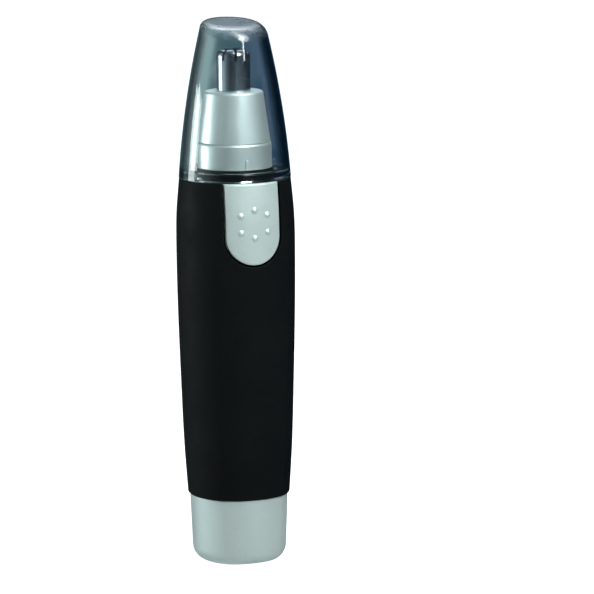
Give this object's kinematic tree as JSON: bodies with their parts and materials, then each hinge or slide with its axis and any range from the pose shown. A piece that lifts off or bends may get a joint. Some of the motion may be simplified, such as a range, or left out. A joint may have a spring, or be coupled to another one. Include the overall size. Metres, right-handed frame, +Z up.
{
  "type": "nose hair trimmer",
  "caption": "Slim battery nose hair trimmer: black four-edged grip with a silver front switch, silver base and cutter head under a clear pull-off cap.",
  "frame": {"origin": "middle of the flat base, on the surface that the trimmer stands on", "axes": "+Z up along the long axis towards the cap, front with the switch towards -Y, +X to the right seen from the front"},
  "size_m": [0.0294, 0.0298, 0.136],
  "materials": {
    "silver_shell": "satin silver lacquer",
    "black_shell": "fine satin black",
    "clear_cap": "clear, faint blue-grey tint",
    "cutter_steel": "polished steel",
    "spring_wire": "spring steel wire",
    "contact_metal": "nickel-plated",
    "nylon": "natural nylon",
    "motor_steel": "zinc-plated steel",
    "core_iron": "laminated iron",
    "magnet": "dark ferrite",
    "copper": "enamelled copper",
    "bronze": "sintered bronze",
    "seal_rubber": "soft black rubber",
    "cell_body": "plain metal can",
    "cell_wrap": "printed film, left plain",
    "switch_plastic": "moulded black",
    "wire_sleeve": "coloured wire insulation"
  },
  "bodies": {
    "cover": {"battery_cover": "silver_shell", "negative_plate": "contact_metal", "battery_spring": "spring_wire"},
    "battery": {"battery_can": "cell_body", "battery_wrap": "cell_wrap", "battery_positive_cap": "contact_metal"},
    "handle": {"front_casing": "black_shell", "rear_casing": "black_shell", "neck_collar": "black_shell", "shaft_seal": "seal_rubber", "chassis": "nylon", "positive_contact": "contact_metal", "negative_strip": "contact_metal", "motor_can": "motor_steel", "motor_bushing": "bronze", "motor_end_cap": "nylon", "motor_magnets": "magnet", "motor_terminals": "contact_metal", "motor_pad": "seal_rubber", "switch_housing": "switch_plastic", "switch_terminals": "contact_metal", "lead_wires": "wire_sleeve"},
    "switch": {"switch_button": "silver_shell", "switch_plunger": "switch_plastic", "switch_spring": "spring_wire"},
    "rotor": {"motor_shaft": "cutter_steel", "motor_armature": "core_iron", "armature_windings": "copper", "commutator": "copper", "drive_coupling": "nylon"},
    "ring": {"lock_ring": "silver_shell"},
    "cutter_head": {"head_cone": "silver_shell", "cutter_retainer": "nylon", "cutter_bush": "bronze", "outer_cutter": "cutter_steel"},
    "inner_cutter": {"blade_shaft": "cutter_steel", "inner_blade": "cutter_steel", "blade_spring": "spring_wire"},
    "cap": {"protective_cap": "clear_cap"}
  },
  "joints": [
    {"name": "battery_lift", "type": "slide", "parent": "cover", "child": "battery", "axis": [0, 0, 1], "range_m": [0, 0.02]},
    {"name": "handle_lift", "type": "slide", "parent": "battery", "child": "handle", "axis": [0, 0, 1], "range_m": [0, 0.045]},
    {"name": "switch_press", "type": "slide", "parent": "handle", "child": "switch", "axis": [0, 1, 0], "range_m": [0, 0.0006], "stiffness_N_per_m": 2000, "springref_m": -0.0004},
    {"name": "motor_spin", "type": "hinge", "parent": "handle", "child": "rotor", "pos_m": [0, 0, 0.072], "axis": [0, 0, 1], "continuous": true},
    {"name": "ring_twist", "type": "hinge", "parent": "handle", "child": "ring", "pos_m": [0, 0, 0.102], "axis": [0, 0, 1], "range_deg": [0, 25]},
    {"name": "head_lift", "type": "slide", "parent": "ring", "child": "cutter_head", "axis": [0, 0, 1], "range_m": [0, 0.02]},
    {"name": "blade_spin", "type": "hinge", "parent": "cutter_head", "child": "inner_cutter", "pos_m": [0, 0, 0.12], "axis": [0, 0, 1], "continuous": true},
    {"name": "cap_lift", "type": "slide", "parent": "cutter_head", "child": "cap", "axis": [0, 0, 1], "range_m": [0, 0.04]}
  ],
  "couplings": [
    {"joint": "blade_spin", "follows": "motor_spin", "ratio": 1}
  ]
}
